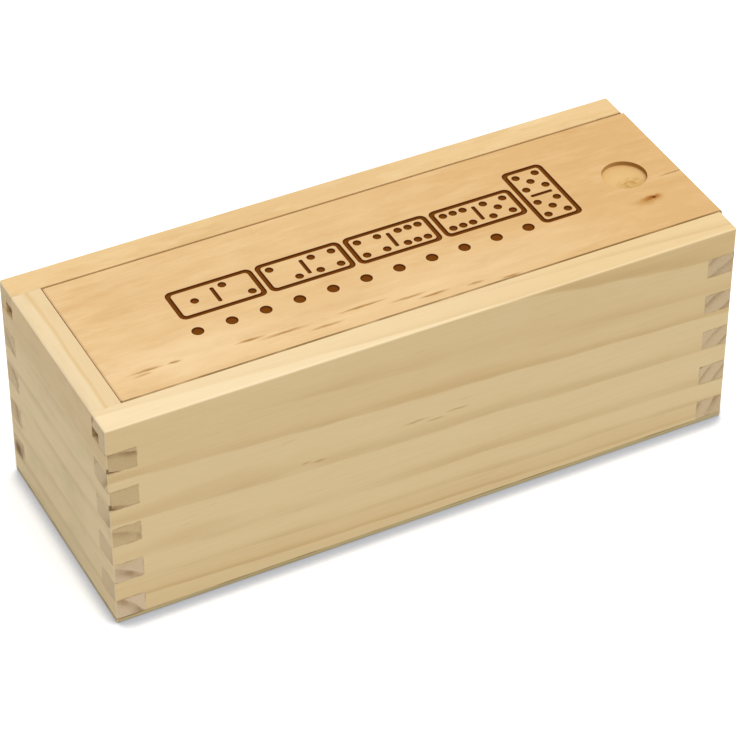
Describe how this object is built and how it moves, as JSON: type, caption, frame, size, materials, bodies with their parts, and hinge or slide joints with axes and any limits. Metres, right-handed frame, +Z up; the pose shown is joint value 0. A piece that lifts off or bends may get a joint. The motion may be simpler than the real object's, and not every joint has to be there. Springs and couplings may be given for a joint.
{
  "type": "domino storage box",
  "caption": "Small oblong pine box with finger jointed corners, a thin bottom and a grooved lid with a round thumb notch that slides out of one end.",
  "frame": {"origin": "centre of the underside, under the middle of the overall length with the lid shut", "axes": "+X along the box towards the end where the lid slides out, +Y to the back, +Z up"},
  "size_m": [0.1606, 0.06, 0.057],
  "materials": {
    "wall_pine": "planed and sanded, no varnish",
    "lid_pine": "planed and sanded, no varnish, warmer than the walls",
    "bottom_sheet": "thin plywood sheet, bare"
  },
  "bodies": {
    "box": {"front_wall": "wall_pine", "back_wall": "wall_pine", "closed_end_wall": "wall_pine", "open_end_wall": "wall_pine", "bottom_panel": "bottom_sheet"},
    "lid": {"lid": "lid_pine"}
  },
  "joints": [
    {"name": "lid_slide", "type": "slide", "parent": "box", "child": "lid", "axis": [1, 0, 0], "range_m": [0, 0.156]}
  ]
}
